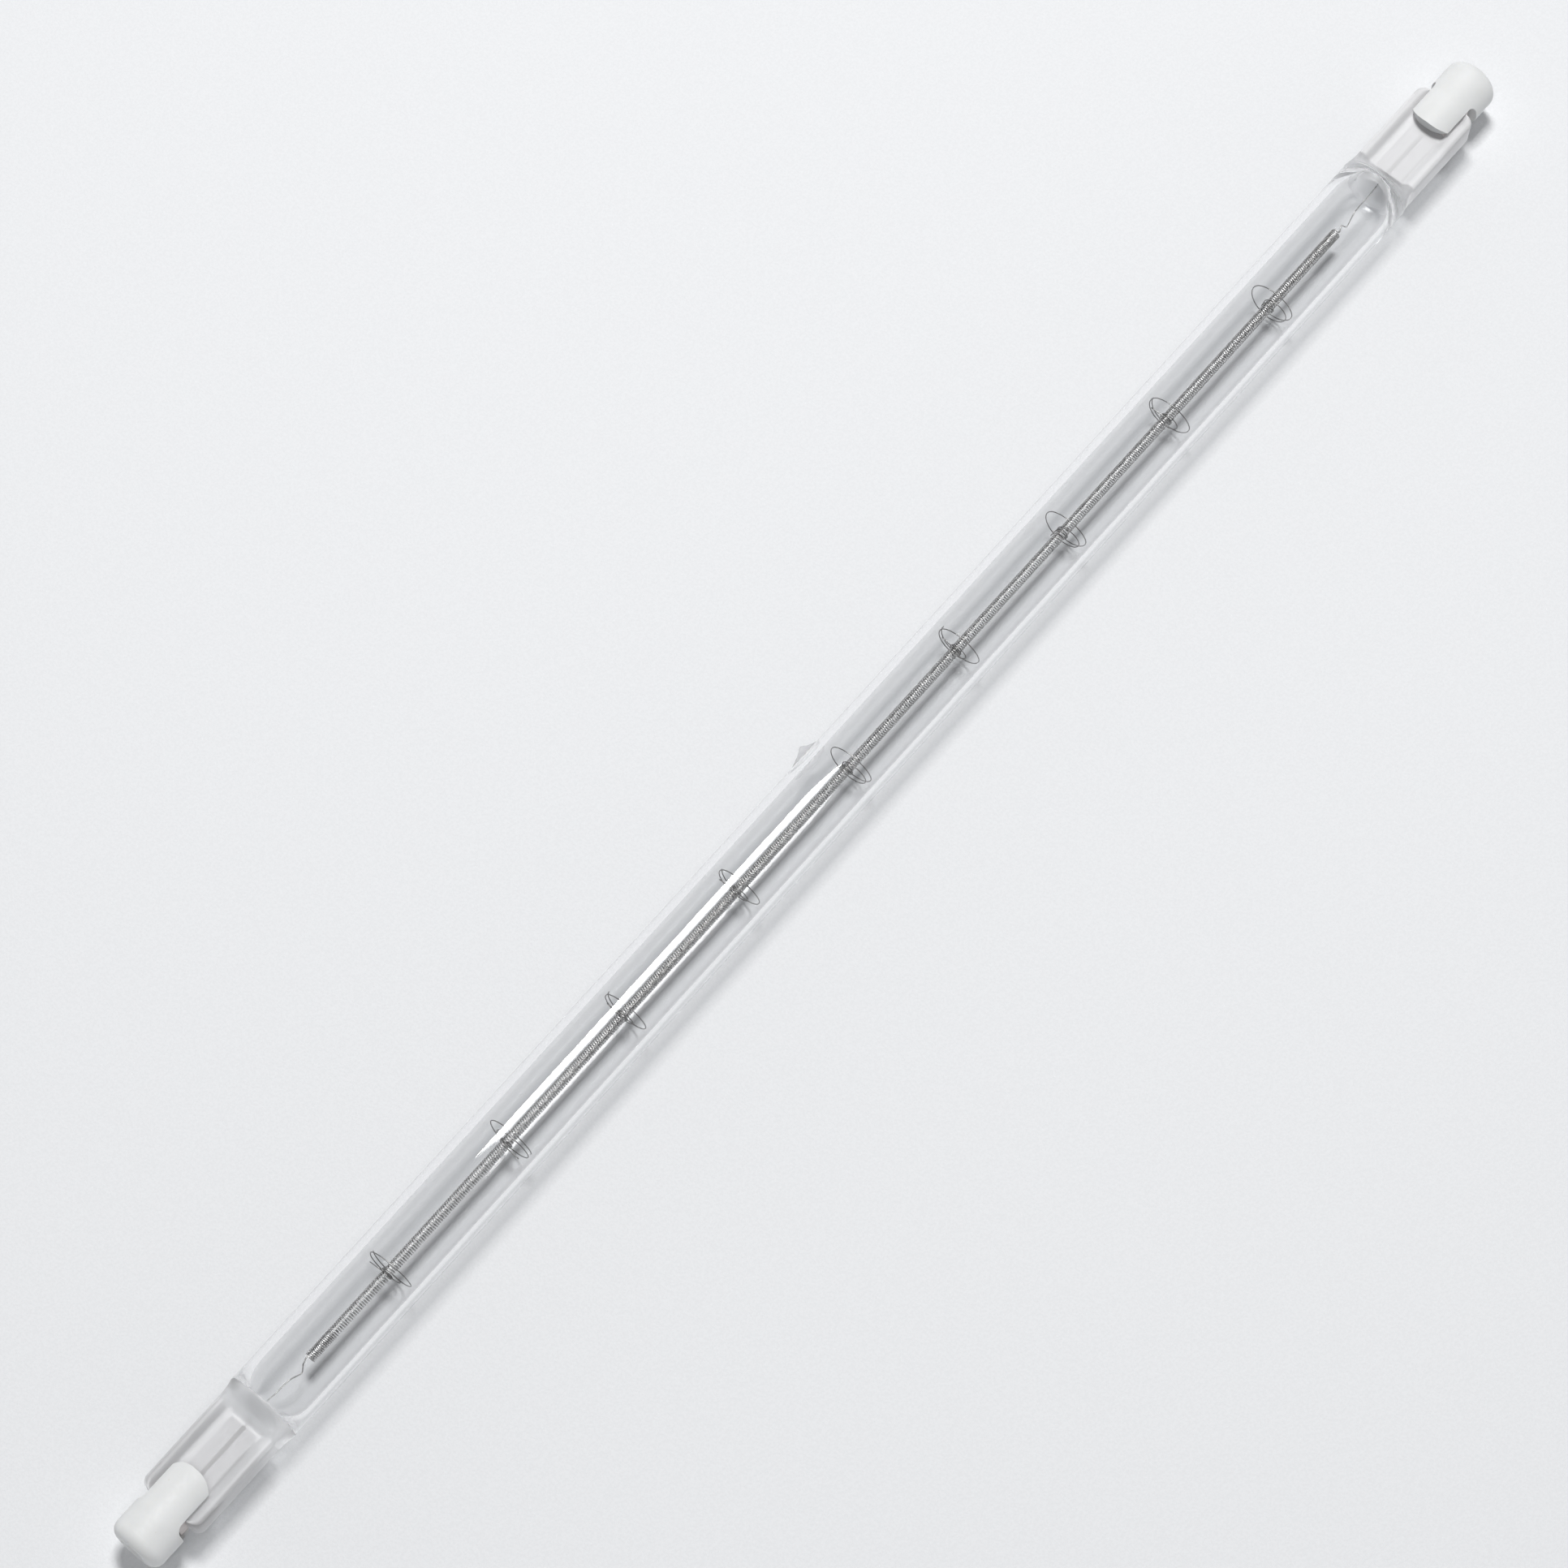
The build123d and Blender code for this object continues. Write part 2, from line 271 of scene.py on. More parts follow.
quartzLooks = {
    "drawn": {  # the tube's outside
        "tint": (0.987, 0.989, 0.991),
        "paintedShadeTint": (0.987, 0.989, 0.991),
        "clear": 1.0,
        "roughness": (0.0, 0.02),
        "workedRoughness": 0.28,
        "shadowClear": (0.984, 0.985, 0.986),
        "shadowEdge": (0.78, 0.784, 0.788),
    },
    "bore": {  # the tube's inside, with painted shade: a little grey where it turns away, standing in for the floor's shadow seen through the bore
        "tint": (0.987, 0.989, 0.991),
        "paintedShadeTint": (0.84, 0.843, 0.848),
        "clear": 1.0,
        "roughness": (0.0, 0.02),
        "workedRoughness": 0.28,
        "shadowClear": (0.984, 0.985, 0.986),
        "shadowEdge": (0.78, 0.784, 0.788),
    },
    "pressedLeft": {  # the pressed ends are a little milky, the left one clearer and the right one whiter
        "tint": (0.97, 0.97, 0.978),
        "paintedShadeTint": (0.97, 0.97, 0.978),
        "clear": 0.64,
        "roughness": (0.30, 0.42),
        "workedRoughness": 0.0,
        "shadowClear": (0.58, 0.585, 0.59),
        "shadowEdge": (0.48, 0.485, 0.49),
    },
    "pressedRight": {
        "tint": (0.97, 0.97, 0.978),
        "paintedShadeTint": (0.97, 0.97, 0.978),
        "clear": 0.36,
        "roughness": (0.30, 0.42),
        "workedRoughness": 0.0,
        "shadowClear": (0.64, 0.645, 0.65),
        "shadowEdge": (0.55, 0.555, 0.56),
    },
    "flamed": {  # the shoulders and the pip, dulled by the flame
        "tint": (0.97, 0.972, 0.978),
        "paintedShadeTint": (0.97, 0.972, 0.978),
        "clear": 0.85,
        "roughness": (0.75, 0.9),
        "workedRoughness": 0.0,
        "shadowClear": (0.86, 0.865, 0.87),
        "shadowEdge": (0.74, 0.745, 0.75),
    },
}
quartzIor = 1.458
paintedShadeTintAt = (0.04, 0.18)  # how far the glass turns away before its painted shade is full
turnedShadowAt = (0.22, 0.6)
workedFrom = (0.1034, 0.1050)  # metres from the middle, where the flame has dulled the glass
drawnLines = {"Stretch": (0.02, 1, 1), "Scale": 900, "Detail": 3}  # long along the tube, fine round it
drawnBump = (0.03, 0.00002)  # bumps are given as a strength and a depth in metres


def makeQuartz(name, look):
    material, tree, shader, coords = newMaterial(name)
    link = tree.links.new
    shader.inputs["Base Color"].default_value = (*look["tint"], 1)
    shader.inputs["IOR"].default_value = quartzIor
    shader.inputs["Transmission Weight"].default_value = look["clear"]
    lines = useGroup(tree, grainGroup, coords, (-650, 0), **drawnLines)
    rough = spanValues(tree, lines.outputs["Mask"], *look["roughness"], (-300, 150))
    parts = addNode(tree, "ShaderNodeSeparateXYZ", (-650, 300))
    link(coords.outputs["Object"], parts.inputs["Vector"])
    away = addNode(tree, "ShaderNodeMath", (-470, 300), operation="ABSOLUTE")
    link(parts.outputs["X"], away.inputs[0])
    worked = addNode(tree, "ShaderNodeMapRange", (-300, 300), interpolation_type="SMOOTHSTEP")
    worked.inputs["From Min"].default_value, worked.inputs["From Max"].default_value = workedFrom
    worked.inputs["To Max"].default_value = look["workedRoughness"]
    link(away.outputs[0], worked.inputs["Value"])
    rougher = addNode(tree, "ShaderNodeMath", (-100, 220), operation="ADD")
    link(rough, rougher.inputs[0])
    link(worked.outputs["Result"], rougher.inputs[1])
    link(rougher.outputs[0], shader.inputs["Roughness"])
    addBump(tree, shader, lines.outputs["Height"], drawnBump, (0, -250))
    turned = addNode(tree, "ShaderNodeLayerWeight", (-650, -500))
    # painted shade: the base colour greys where the glass turns away, standing in for the floor's shadow
    # seen through it
    if look["paintedShadeTint"] != look["tint"]:
        shadeRim = addNode(tree, "ShaderNodeMapRange", (-400, 400), interpolation_type="SMOOTHSTEP")
        shadeRim.inputs["From Min"].default_value, shadeRim.inputs["From Max"].default_value = paintedShadeTintAt
        link(turned.outputs["Facing"], shadeRim.inputs["Value"])
        tints = look["tint"], look["paintedShadeTint"]
        link(mixColours(tree, shadeRim.outputs["Result"], *tints, (-150, 400)), shader.inputs["Base Color"])
    # Light goes through to what is inside and to the floor
    seeThrough = addNode(tree, "ShaderNodeBsdfTransparent", (350, -420))
    edge = addNode(tree, "ShaderNodeMapRange", (-150, -500), interpolation_type="SMOOTHSTEP")
    edge.inputs["From Min"].default_value, edge.inputs["From Max"].default_value = turnedShadowAt
    link(turned.outputs["Facing"], edge.inputs["Value"])
    shades = look["shadowClear"], look["shadowEdge"]
    link(mixColours(tree, edge.outputs["Result"], *shades, (100, -500)), seeThrough.inputs["Color"])
    rays = addNode(tree, "ShaderNodeLightPath", (0, 420))
    either = addNode(tree, "ShaderNodeMath", (250, 350), operation="MAXIMUM")
    mix = addNode(tree, "ShaderNodeMixShader", (550, 120))
    link(rays.outputs["Is Shadow Ray"], either.inputs[0])
    link(rays.outputs["Is Diffuse Ray"], either.inputs[1])
    link(either.outputs[0], mix.inputs["Fac"])
    link(shader.outputs["BSDF"], mix.inputs[1])
    link(seeThrough.outputs["BSDF"], mix.inputs[2])
    link(mix.outputs["Shader"], tree.get_output_node("ALL").inputs["Surface"])
    return material


wireLooks = {
    "coil": {
        "light": (0.63, 0.625, 0.62),
        "dark": (0.38, 0.375, 0.37),
        "rough": (0.26, 0.4),
        "scale": 2600,
    },
    "support": {
        "light": (0.34, 0.335, 0.33),
        "dark": (0.20, 0.197, 0.193),
        "rough": (0.3, 0.45),
        "scale": 3400,
    },
    "lead": {
        "light": (0.15, 0.149, 0.15),
        "dark": (0.10, 0.099, 0.10),
        "rough": (0.6, 0.75),
        "scale": 1800,
    },
    "foil": {
        "light": (0.40, 0.40, 0.41),
        "dark": (0.36, 0.36, 0.37),
        "rough": (0.68, 0.75),
        "scale": 1200,
    },
}
wireBump = (0.06, 0.00001)


def makeWireMetal(name, look):
    material, tree, shader, coords = newMaterial(name)
    shader.inputs["Metallic"].default_value = 1
    grain = useGroup(tree, grainGroup, coords, (-650, 0), Scale=look["scale"], Detail=5)
    tint = mixColours(tree, grain.outputs["Mask"], look["dark"], look["light"], (-250, 200))
    tree.links.new(tint, shader.inputs["Base Color"])
    addRoughness(tree, shader, grain.outputs["Mask"], look["rough"], (-250, -50))
    addBump(tree, shader, grain.outputs["Height"], wireBump, (0, -250))
    return material


ceramicLook = {
    "light": (0.82, 0.83, 0.827),
    "shade": (0.79, 0.80, 0.795),
    "speck": (0.75, 0.745, 0.715),
    "rough": (0.42, 0.62),
    "cloud": {"Scale": 260, "Detail": 4},
    "grain": {"Scale": 2600, "Detail": 3},
    "specks": {"Scale": 1100, "Size": 0.11, "Share": 0.12},
    "glow": 0.12,  # light that enters the ceramic and comes out again
    "glowReach": (0.0012, 0.0011, 0.0009),
    "bump": (0.3, 0.00003),
}


def makeCeramic():
    look = ceramicLook
    material, tree, shader, coords = newMaterial("firedCeramic")
    cloud = useGroup(tree, grainGroup, coords, (-650, 200), **look["cloud"])
    grain = useGroup(tree, grainGroup, coords, (-650, -100), **look["grain"])
    specks = useGroup(tree, speckGroup, coords, (-650, -400), **look["specks"])
    body = mixColours(tree, cloud.outputs["Mask"], look["shade"], look["light"], (-350, 250))
    body = mixColours(tree, specks.outputs["Mask"], body, look["speck"], (-120, 250))
    tree.links.new(body, shader.inputs["Base Color"])
    addRoughness(tree, shader, grain.outputs["Mask"], look["rough"], (-250, 0))
    shader.inputs["Subsurface Weight"].default_value = look["glow"]
    shader.inputs["Subsurface Radius"].default_value = look["glowReach"]
    addBump(tree, shader, grain.outputs["Height"], look["bump"], (0, -300))
    return material


cementLook = {
    "light": (0.90, 0.85, 0.83),
    "shade": (0.82, 0.76, 0.74),
    "rough": (0.75, 0.95),
    "cloud": {"Scale": 700, "Detail": 6},
    "bump": (0.6, 0.0001),
}


def makeCement():
    look = cementLook
    material, tree, shader, coords = newMaterial("dryCement")
    cloud = useGroup(tree, grainGroup, coords, (-650, 200), **look["cloud"])
    body = mixColours(tree, cloud.outputs["Mask"], look["shade"], look["light"], (-350, 250))
    tree.links.new(body, shader.inputs["Base Color"])
    addRoughness(tree, shader, cloud.outputs["Mask"], look["rough"], (-250, 0))
    addBump(tree, shader, cloud.outputs["Height"], look["bump"], (0, -300))
    return material


contactLook = {
    "light": (0.74, 0.72, 0.67),
    "dark": (0.52, 0.50, 0.46),
    "rough": (0.16, 0.38),
    "cloud": {"Scale": 1500, "Detail": 4},
    "scuffs": {"Stretch": (1, 0.15, 1), "Scale": 3500, "Detail": 2, "Low": 0.5, "High": 0.7},
    "bump": (0.2, 0.00002),
}


def makeContactMetal():
    look = contactLook
    material, tree, shader, coords = newMaterial("platedContact")
    shader.inputs["Metallic"].default_value = 1
    cloud = useGroup(tree, grainGroup, coords, (-650, 0), **look["cloud"])
    scuffs = useGroup(tree, grainGroup, coords, (-650, -300), **look["scuffs"])
    tint = mixColours(tree, cloud.outputs["Mask"], look["dark"], look["light"], (-250, 200))
    tree.links.new(tint, shader.inputs["Base Color"])
    addRoughness(tree, shader, scuffs.outputs["Mask"], look["rough"], (-250, -50))
    addBump(tree, shader, scuffs.outputs["Height"], look["bump"], (0, -250))
    return material


quartzFinishes = [makeQuartz(f"{name}Quartz", look) for name, look in quartzLooks.items()]
coilMetal = makeWireMetal("tungstenCoil", wireLooks["coil"])
supportMetal = makeWireMetal("supportWire", wireLooks["support"])
leadMetal = makeWireMetal("leadWire", wireLooks["lead"])
foilMetal = makeWireMetal("sealFoil", wireLooks["foil"])
ceramic = makeCeramic()
cement = makeCement()
contactMetal = makeContactMetal()
print("finishes made")


# Quartz envelope: tube, shoulders, pressed ends and the sealed-off pip

envelope = {
    "tubeRadius": 4.9,
    "boreRadius": 3.9,
    "shoulderStart": 104.5,
    "pinchStart": 106.6,
    "glassEnd": 120.3,
    "pinchHalf": 4.35,
    "ridgeHalf": 2.1,
    "webHalf": 1.25,
    "ridgeRound": 0.5,
    "channelFoot": (2.4, 3.6),  # where the channel's wall starts and ends across the pinch
    "webRunOut": (105.9, 107.5),
    "endCorner": 1.2,
    "endEdge": 0.18,
    "hollowTaper": 104.6,
    "hollowRounds": 99.0,
    "hollowEnd": 105.8,
    "hollowTip": 0.3,
    "hollowPower": 4,  # how squarely the hollow rounds off
    "hollowLeast": 0.0009,
    "milkyFrom": 104.6,
    "milkyTo": 107.2,
}
pip = {
    "peak": -1.9,
    "height": 1.2,
    "gentle": 4.0,  # the length of its slope on either side
    "steep": 2.0,
    "halfWidth": 1.9,
    "moundShare": 0.62,
    "tipShare": 0.38,
    "tipWidth": 0.24,
    "milkyOver": 0.004,
}
glassRows = {  # how finely the envelope is divided
    "ridgeSide": 11,
    "ridgeRound": 9,
    "channelWall": 13,
    "web": 13,
    "tubeStep": 5,
    "tubeEnd": 100,
    "tubeRows": 5,
    "shoulder": 34,
    "pinch": 6,
    "corner": 10,
    "cornerTurn": 0.9,
    "pip": 54,
    "boreAround": 120,
    "boreEnd": 95,
    "hollow": 40,
    "hollowCrowd": 1.6,
}


def pinchQuarter(webHalf):
    e, rows = envelope, glassRows
    r = e["ridgeRound"]
    points = [(e["pinchHalf"], z) for z in np.linspace(0, e["ridgeHalf"] - r, rows["ridgeSide"])[:-1]]
    for a in np.linspace(0, math.pi / 2, rows["ridgeRound"]):
        points.append((e["pinchHalf"] - r + r * math.cos(a), e["ridgeHalf"] - r + r * math.sin(a)))
    low, high = e["channelFoot"]
    points.append(((high + e["pinchHalf"] - r) / 2, e["ridgeHalf"]))
    for y in np.linspace(high, low, rows["channelWall"]):
        points.append((y, webHalf + (e["ridgeHalf"] - webHalf) * smoothStep(low, high, y)))
    points += [(y, webHalf) for y in np.linspace(low, 0, rows["web"])[1:]]
    return np.array(points)


quarter = pinchQuarter(envelope["webHalf"])
steps = np.concatenate([[0], np.cumsum(np.linalg.norm(np.diff(quarter, axis=0), axis=1))])
quarterAngle = steps / steps[-1] * math.pi / 2


def wholeRound(values, flipY, flipZ):
    first = values
    second = values[-2::-1] * flipY
    third = values[1:] * flipY * flipZ
    fourth = values[-2:0:-1] * flipZ
    return np.concatenate([first, second, third, fourth])


def pipRise(x, z):
    past = x - pip["peak"]
    along = np.where(past < 0, past / pip["gentle"], past / pip["steep"])
    r = np.clip(np.sqrt(along ** 2 + (z / pip["halfWidth"]) ** 2), 0, 1)
    mound = (1 - r) ** 2 * (1 + 2 * r)
    tip = np.exp(-((r / pip["tipWidth"]) ** 2)) * (1 - r)
    return pip["height"] * (pip["moundShare"] * mound + pip["tipShare"] * tip)


def outerRing(x):
    e = envelope
    ax = abs(x)
    web = e["ridgeHalf"] - (e["ridgeHalf"] - e["webHalf"]) * smoothStep(*e["webRunOut"], ax)
    section = pinchQuarter(web)
    reach = e["pinchHalf"]
    past = ax - (e["glassEnd"] - e["endCorner"])
    if past > 0:
        reach -= e["endCorner"] - math.sqrt(max(e["endCorner"] ** 2 - past ** 2, 0))
    pinchY = wholeRound(section[:, 0] * reach / e["pinchHalf"], -1, 1)
    pinchZ = wholeRound(section[:, 1], 1, -1)
    tubeY = wholeRound(e["tubeRadius"] * np.cos(quarterAngle), -1, 1)
    tubeZ = wholeRound(e["tubeRadius"] * np.sin(quarterAngle), 1, -1)
    pressed = smoothStep(e["shoulderStart"], e["pinchStart"], ax)
    y = tubeY + (pinchY - tubeY) * pressed
    z = tubeZ + (pinchZ - tubeZ) * pressed
    if abs(x - pip["peak"]) < pip["gentle"]:
        y = y + np.where(y > 0, pipRise(np.full_like(y, x), z), 0)
    return np.column_stack([np.full_like(y, x), y, z])


def innerRing(x, around):
    e = envelope
    t = np.clip((abs(x) - e["hollowTaper"]) / (e["hollowEnd"] - e["hollowTaper"]), 0, 1)
    high = e["hollowTip"] + (e["boreRadius"] - e["hollowTip"]) * (1 - smoothStep(0, 1, t))
    w = np.clip((abs(x) - e["hollowRounds"]) / (e["hollowEnd"] - e["hollowRounds"]), 0, 1)
    wide = e["boreRadius"] * math.sqrt(max(1 - w ** e["hollowPower"], e["hollowLeast"]))
    a = np.arange(around) * 2 * math.pi / around
    y = wide * np.cos(a)
    z = high * np.sin(a)
    return np.column_stack([np.full_like(y, x), y, z])


def outerShell():
    e, rows = envelope, glassRows
    cornerStart = e["glassEnd"] - e["endCorner"]
    webFull = e["webRunOut"][1]
    cornerTurn = np.linspace(0, rows["cornerTurn"], rows["corner"]) * math.pi / 2
    half = np.concatenate([
        np.arange(rows["tubeStep"], rows["tubeEnd"], rows["tubeStep"]),
        np.linspace(rows["tubeEnd"], e["shoulderStart"], rows["tubeRows"])[:-1],
        np.linspace(e["shoulderStart"], webFull, rows["shoulder"]),
        np.linspace(webFull, cornerStart, rows["pinch"])[1:-1],
        cornerStart + e["endCorner"] * np.sin(cornerTurn),
    ])
    middle = np.linspace(pip["peak"] - pip["gentle"], pip["peak"] + pip["steep"], rows["pip"])
    stations = np.unique(np.concatenate([-half, middle, half]).round(5))
    rings = [outerRing(x) for x in stations]
    for index, side in ((0, -1), (-1, 1)):
        shut = rings[index].copy()
        shut[:, 0] = side * e["glassEnd"]
        shut[:, 1] *= 1 - e["endEdge"] / e["pinchHalf"]
        shut[:, 2] *= 1 - e["endEdge"] / e["webHalf"] / 2
        rings = [shut] + rings if index == 0 else rings + [shut]
    around = len(rings[0])
    verts = np.concatenate(rings)
    faces = stripFaces(len(rings), around)
    top = list(range(around // 2 + 1))
    for base, turn in ((0, -1), ((len(rings) - 1) * around, 1)):
        for a, b in zip(top, top[1:]):
            loop = [base + a, base + b, base + (around - b) % around, base + (around - a) % around]
            loop = list(dict.fromkeys(loop))
            faces.append(tuple(loop[::turn]))
    return verts, facedOut(verts, faces)


def innerShell():
    e, rows = envelope, glassRows
    around = rows["boreAround"]
    crowded = np.linspace(1, 0, rows["hollow"]) ** rows["hollowCrowd"]
    taper = e["hollowEnd"] - (e["hollowEnd"] - e["hollowRounds"]) * crowded
    straight = np.arange(-rows["boreEnd"], rows["boreEnd"] + 1, rows["tubeStep"])
    stations = np.unique(np.concatenate([-taper, straight, taper]).round(5))
    verts = np.concatenate([innerRing(x, around) for x in stations])
    faces = stripFaces(len(stations), around)
    verts = np.vstack([verts, (stations[0], 0, 0), (stations[-1], 0, 0)])
    count = len(stations) * around
    for k in range(around):
        n = (k + 1) % around
        faces.append((count, n, k))
        faces.append((count + 1, count - around + k, count - around + n))
    return verts, facedOut(verts, faces, outward=False)  # these faces look into the hollow


def envelopeMesh():
    e = envelope
    verts, faces = outerShell()
    innerVerts, innerFaces = innerShell()
    outside = len(faces)
    faces += [tuple(i + len(verts) for i in f) for f in innerFaces]
    verts = np.vstack([verts, innerVerts])
    drawn, bore, pressedLeft, pressedRight, flamed = range(len(quartzLooks))
    finishOf = [drawn if i < outside else bore for i in range(len(faces))]
    for i, face in enumerate(faces):
        x, y, z = np.mean([verts[k] for k in face], axis=0)
        onPip = i < outside and y > 0 and pipRise(x, z) > pip["milkyOver"]
        if abs(x) > e["milkyTo"]:
            finishOf[i] = pressedLeft if x < 0 else pressedRight
        elif abs(x) > e["milkyFrom"] or onPip:
            finishOf[i] = flamed
    return verts, faces, finishOf


glassVerts, glassFaces, glassFinishOf = envelopeMesh()
makePiece("quartzTube", glassVerts, glassFaces, quartzFinishes, ["quartz_envelope"], glassFinishOf)
print("quartz envelope:", len(glassFaces), "faces")


# Filament: one wire, wound along the tube and kinked out to the foils

filament = {
    "wire": 0.17,
    "coilDiameter": 1.44,
    "coilEnd": 96.9,
    "drop": 0.6,
    "pitch": 0.318,
    "closePitch": 0.25,
    "closeLength": 3.6,
    "closeFade": 0.6,
    "stepsPerTurn": 16,
    "sides": 6,
    "legRoom": 8.9,
    "legBends": (0.115, 0.20, 0.38, 0.565),  # shares of the room between coil and pinch
    "legLeaves": 0.5,
    "legArrives": 0.45,
    "legBlend": 14,
    "legDip": 1.05,
    "legSway": 0.45,
    "legBend": 0.45,
    "legHeight": -0.115,
    "legEnd": 109.1,
}


def coilPath():
    f = filament
    radius = f["coilDiameter"] / 2 - f["wire"] / 2
    x, angle, points = -f["coilEnd"], math.pi / 2, []
    stepAngle = 2 * math.pi / f["stepsPerTurn"]
    while x < f["coilEnd"]:
        points.append((x, radius * math.cos(angle), -f["drop"] + radius * math.sin(angle)))
        fromEnd = f["coilEnd"] - abs(x)
        opened = smoothStep(f["closeLength"], f["closeLength"] + f["closeFade"], fromEnd)
        pitch = f["closePitch"] + (f["pitch"] - f["closePitch"]) * opened
        x += pitch / f["stepsPerTurn"]
        angle += stepAngle
    return np.array(points)


def legPath(side):
    f = filament
    top = -f["drop"] + f["coilDiameter"] / 2 - f["wire"]
    first, second, third, fourth = [side * (f["coilEnd"] + share * f["legRoom"]) for share in f["legBends"]]
    return [
        (first, 0, top),
        (second, -f["legSway"], top - f["legDip"]),
        (third, -f["legSway"] / 3, f["legHeight"] + f["legDip"] / 4),
        (fourth, 0, f["legHeight"]),
        (side * f["legEnd"], 0, f["legHeight"]),
    ]


def joinedLeg(coilTip, before, side):
    f = filament
    corners = legPath(side)
    away = coilTip - before
    away /= np.linalg.norm(away)
    start = np.array(corners[0])
    leaving = coilTip + away * f["legLeaves"]
    arriving = start - (side * f["legArrives"], 0, 0)
    blend = []
    for t in np.linspace(0, 1, f["legBlend"])[1:-1]:
        u = 1 - t
        ends = u ** 3 * coilTip + t ** 3 * start
        blend.append(ends + 3 * u * u * t * leaving + 3 * u * t * t * arriving)
    return blend + bentPath(corners, f["legBend"])


coil = coilPath()
leftLeg = joinedLeg(coil[0], coil[1], -1)
rightLeg = joinedLeg(coil[-1], coil[-2], 1)
wholeWire = np.vstack([np.array(leftLeg)[::-1], coil, np.array(rightLeg)])
wireVerts, wireFaces = roundWire(wholeWire, filament["wire"] / 2, filament["sides"])
makePiece("filamentCoil", wireVerts, wireFaces, [coilMetal], ["filament"])
print("filament:", len(wireFaces), "faces")


# Coil supports: wraps on the coil, a run out and one ring that rides in the tube

supports = {
    "count": 9,
    "pitch": 20.8,
    "turned": (75, 265, 95, 80, 350, 100, 10, 85, 355),
    "wire": 0.13,
    "wraps": 2,
    "wrapPitch": 0.2,
    "runOut": 0.75,
    "ringTurns": 1.05,
    "ringPitch": 0.5,
    "tail": 2.2,
    "tailPoints": 7,
    "clearance": 0.03,
    "ringClearance": 0.1,
    "stepsPerTurn": 26,
    "sides": 8,
}


def supportPath(number):
    s = supports
    wrapRadius = filament["coilDiameter"] / 2 + s["clearance"] + s["wire"] / 2
    ringRadius = envelope["boreRadius"] - filament["drop"] - s["ringClearance"] - s["wire"] / 2
    middle = (number - (s["count"] - 1) / 2) * s["pitch"]
    total = s["wraps"] + s["runOut"] + s["ringTurns"]
    turns = np.linspace(0, total, round(total * s["stepsPerTurn"]))
    ease = smoothStep(s["wraps"], s["wraps"] + s["runOut"], turns)
    radius = wrapRadius + (ringRadius - wrapRadius) * ease
    ringed = np.maximum(turns - s["wraps"] - s["runOut"], 0)
    along = np.minimum(turns, s["wraps"]) * s["wrapPitch"] + ease * s["ringPitch"] / 2
    along = along + ringed * s["ringPitch"] - s["wraps"] * s["wrapPitch"] - s["ringPitch"] / 2
    angle = math.radians(s["turned"][number]) + 2 * math.pi * turns
    height = -filament["drop"] + radius * np.sin(angle)
    points = np.column_stack([middle + along, radius * np.cos(angle), height])
    back = points[0] - points[1]
    back /= np.linalg.norm(back)
    tail = [points[0] + back * s["tail"] * t for t in np.linspace(1, 0, s["tailPoints"])[:-1]]
    return np.vstack([tail, points])


for number in range(supports["count"]):
    verts, faces = roundWire(supportPath(number), supports["wire"] / 2, supports["sides"])
    label = number + 1
    makePiece(f"coilSupport{label}", verts, faces, [supportMetal], [f"coil_support_{label}"])
print("supports:", supports["count"])


# Pieces that keep their solids

capEdge = {"width": 0.32, "segments": 4, "sharperThan": 40}

for side in ("left", "right"):
    for name, finish in (
        ("ceramic_cap", ceramic),
        ("contact_button", contactMetal),
        ("cap_cement", cement),
        ("seal_foil", foilMetal),
        ("outer_lead", leadMetal),
    ):
        node = nodes[f"{name}_{side}"]
        node.data.materials.clear()
        node.data.materials.append(finish)
    softened = nodes[f"ceramic_cap_{side}"].modifiers.new("softEdges", "BEVEL")
    softened.width = capEdge["width"] * mm
    softened.segments = capEdge["segments"]
    softened.limit_method = "ANGLE"
    softened.angle_limit = math.radians(capEdge["sharperThan"])
print("ends finished")


# Floor, light and camera

studio = {
    "floorColour": (0.86, 0.87, 0.885),
    "floorGrain": (0.835, 0.845, 0.86),
    "floorGrainSize": {"Scale": 3000, "Detail": 2},
    "floorRoughness": 0.9,
    "floorShine": 0.1,
    "floorBump": (0.45, 0.0001),
    "floorHeight": -4.9,
    "floorHalf": 3000,
    "softboxes": {
        "key": {"place": (0.227, 0.190, 1.0), "size": (0.18, 0.30), "power": 8.75},
        "fill": {"place": (-0.35, -0.24, 0.92), "size": (0.26, 0.26), "power": 1.85},
    },
    "walls": (0.56, 0.565, 0.575),
    "ceiling": (0.06, 0.06, 0.063),
    "wallTop": (0.14, 0.52),  # sine of the height where the pale walls give way to the dim ceiling
}
view = {
    "place": (-0.1695, -0.1331, 0.5108),
    "azimuth": -49.77,
    "elevation": 67.37,
    "lens": 104.8,
    "sensor": 36,
    "clip": (0.01, 50),
}


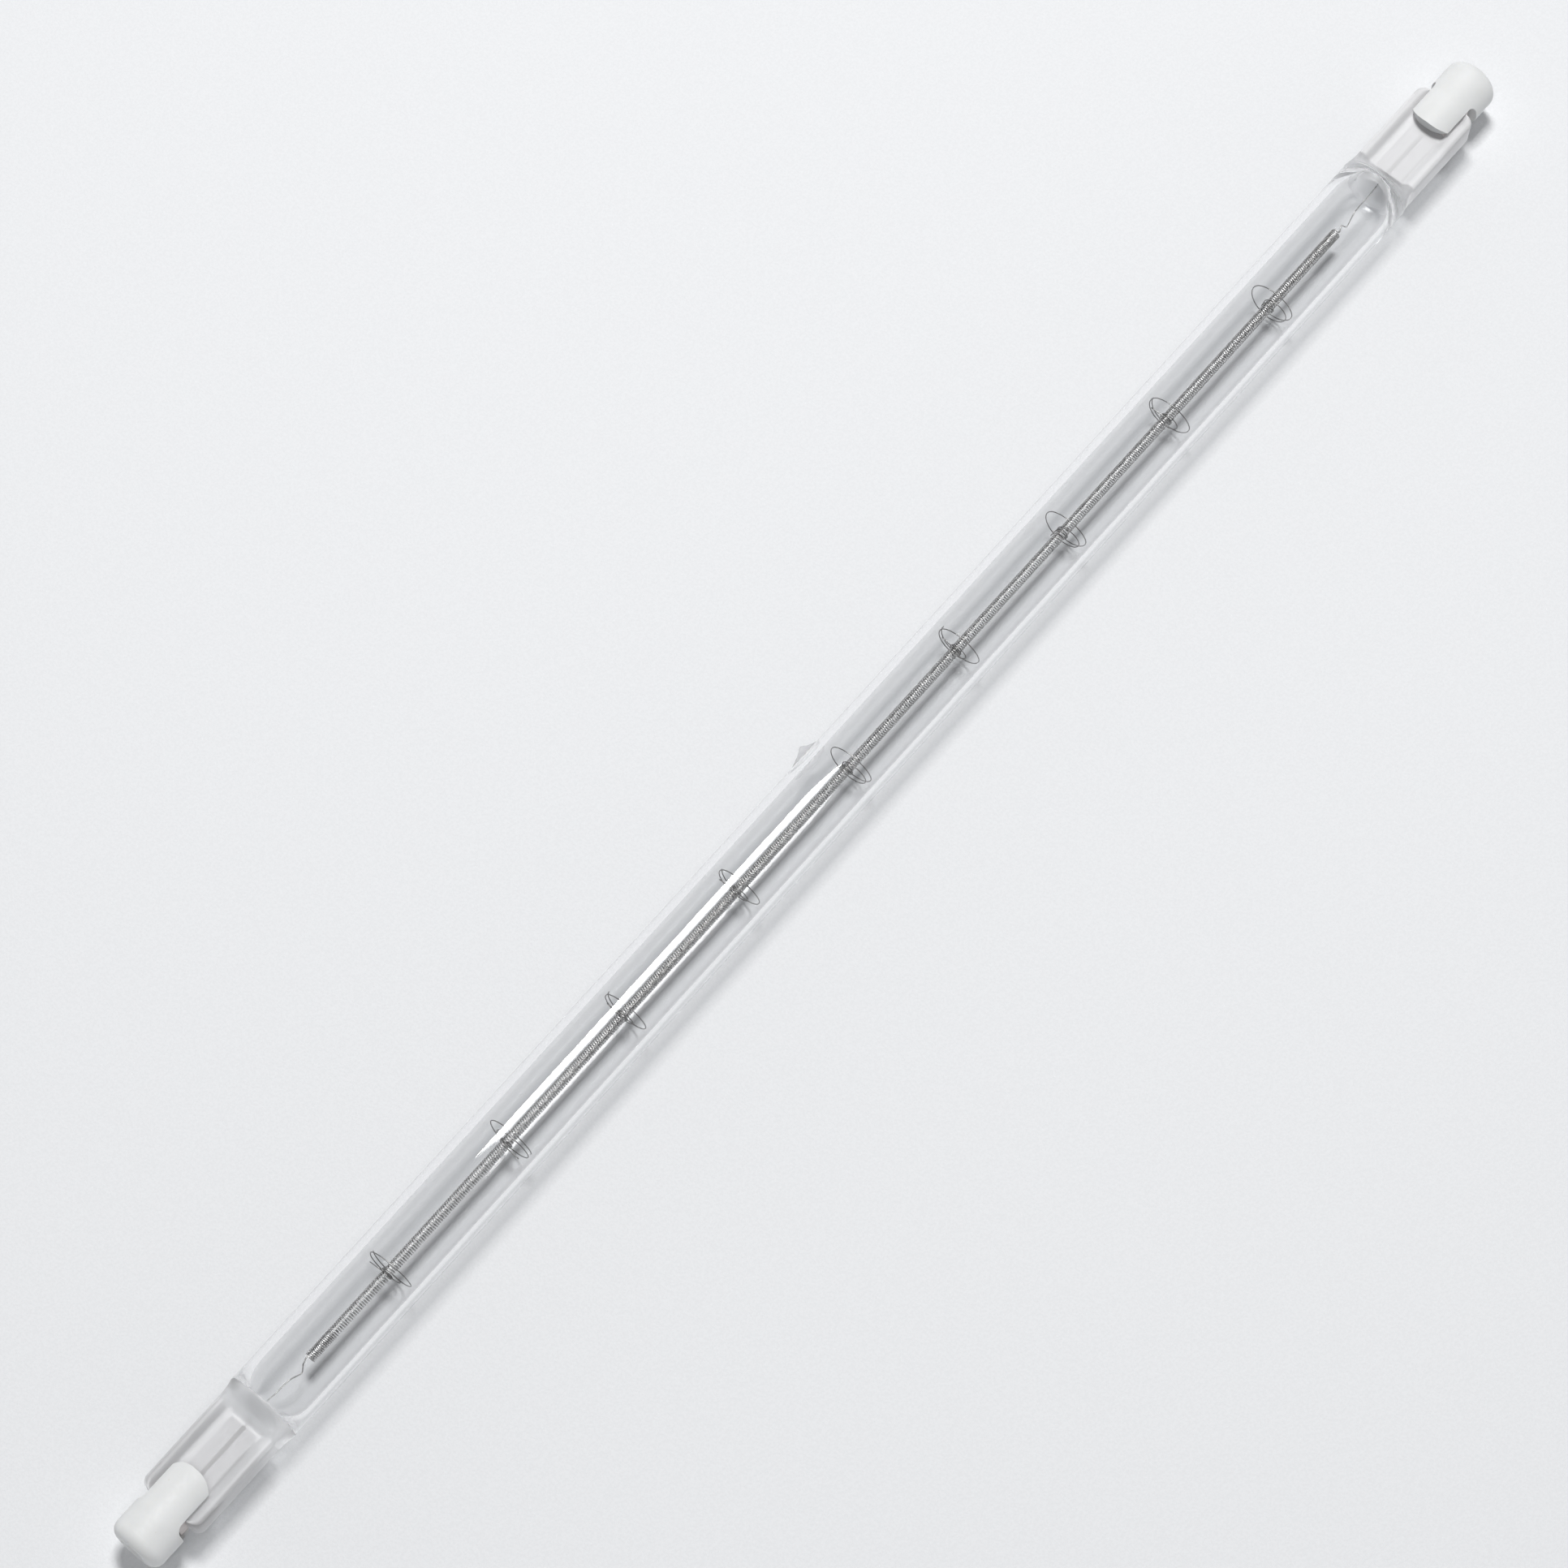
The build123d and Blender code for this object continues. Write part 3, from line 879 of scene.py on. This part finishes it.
def makeFloor():
    material, tree, shader, coords = newMaterial("paleTable")
    grain = useGroup(tree, grainGroup, coords, (-650, 0), **studio["floorGrainSize"])
    tints = studio["floorGrain"], studio["floorColour"]
    tree.links.new(mixColours(tree, grain.outputs["Mask"], *tints, (-250, 200)), shader.inputs["Base Color"])
    shader.inputs["Roughness"].default_value = studio["floorRoughness"]
    shader.inputs["Specular IOR Level"].default_value = studio["floorShine"]
    addBump(tree, shader, grain.outputs["Height"], studio["floorBump"], (0, -250))
    h, z = studio["floorHalf"] * mm, studio["floorHeight"] * mm
    mesh = bpy.data.meshes.new("floor")
    mesh.from_pydata([(-h, -h, z), (h, -h, z), (h, h, z), (-h, h, z)], [], [(0, 1, 2, 3)])
    mesh.materials.append(material)
    floor = bpy.data.objects.new("floor", mesh)
    scene.collection.objects.link(floor)


def makeLight():
    for name, box in studio["softboxes"].items():
        lamp = bpy.data.lights.new(f"{name}Softbox", "AREA")
        lamp.shape = "RECTANGLE"
        lamp.size, lamp.size_y = box["size"]
        lamp.energy = box["power"]
        holder = bpy.data.objects.new(f"{name}Softbox", lamp)
        holder.location = box["place"]  # it hangs level, facing the floor
        scene.collection.objects.link(holder)

    world = bpy.data.worlds.new("studio")
    scene.world = world
    world.use_nodes = True
    tree = world.node_tree
    tree.nodes.clear()
    link = tree.links.new
    out = addNode(tree, "ShaderNodeOutputWorld", (600, 0))
    sky = addNode(tree, "ShaderNodeBackground", (350, 0))
    coords = addNode(tree, "ShaderNodeTexCoord", (-500, 0))
    parts = addNode(tree, "ShaderNodeSeparateXYZ", (-300, 0))
    height = addNode(tree, "ShaderNodeMapRange", (-100, 0), interpolation_type="SMOOTHSTEP")
    height.inputs["From Min"].default_value, height.inputs["From Max"].default_value = studio["wallTop"]
    link(coords.outputs["Generated"], parts.inputs["Vector"])
    link(parts.outputs["Z"], height.inputs["Value"])
    room = mixColours(tree, height.outputs["Result"], studio["walls"], studio["ceiling"], (120, 0))
    link(room, sky.inputs["Color"])
    link(sky.outputs["Background"], out.inputs["Surface"])


def makeCamera():
    a, e = math.radians(view["azimuth"]), math.radians(view["elevation"])
    back = Vector((math.sin(a) * math.cos(e), -math.cos(a) * math.cos(e), math.sin(e)))
    data = bpy.data.cameras.new("photoView")
    data.lens = view["lens"]
    data.sensor_width = view["sensor"]
    data.clip_start, data.clip_end = view["clip"]
    camera = bpy.data.objects.new("photoView", data)
    camera.location = view["place"]
    camera.rotation_mode = "QUATERNION"
    camera.rotation_quaternion = (-back).to_track_quat("-Z", "Y")
    scene.collection.objects.link(camera)
    scene.camera = camera


makeFloor()
makeLight()
makeCamera()
print("studio set")
